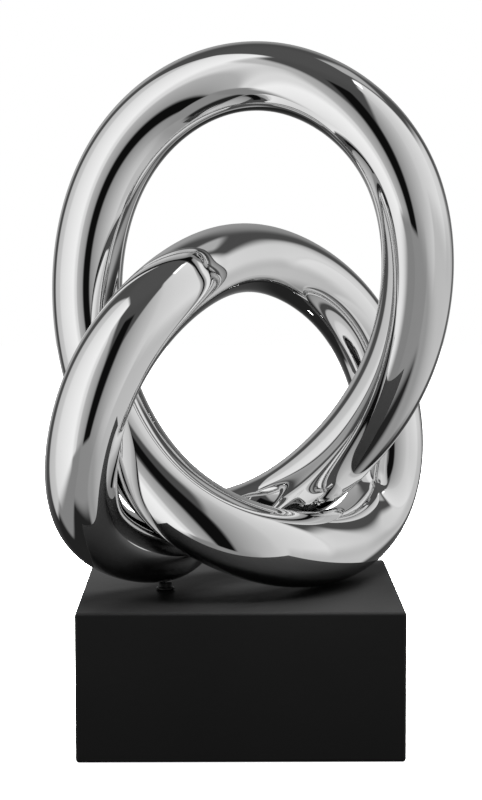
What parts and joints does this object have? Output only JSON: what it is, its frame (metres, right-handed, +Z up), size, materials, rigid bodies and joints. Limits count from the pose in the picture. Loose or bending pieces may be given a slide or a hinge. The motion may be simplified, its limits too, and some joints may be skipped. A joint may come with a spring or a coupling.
{
  "type": "knot sculpture",
  "caption": "Mirror-polished round bar bent into a closed trefoil knot, standing upright on a square matt black block plinth.",
  "frame": {"origin": "middle of the plinth's underside, on the surface that the sculpture stands on", "axes": "+Z up; the front, with the left strand and the low front bar nearest, faces -Y; +X to the right as seen from the front"},
  "size_m": [0.2015, 0.1775, 0.3489],
  "materials": {
    "mirror_chrome": "mirror polished, neutral silver",
    "matt_black": "matt black lacquer, fine even grain",
    "dark_steel": "blackened, half matt"
  },
  "bodies": {
    "root": {"knot": "mirror_chrome", "plinth": "matt_black", "foot_stud": "dark_steel"}
  },
  "joints": []
}
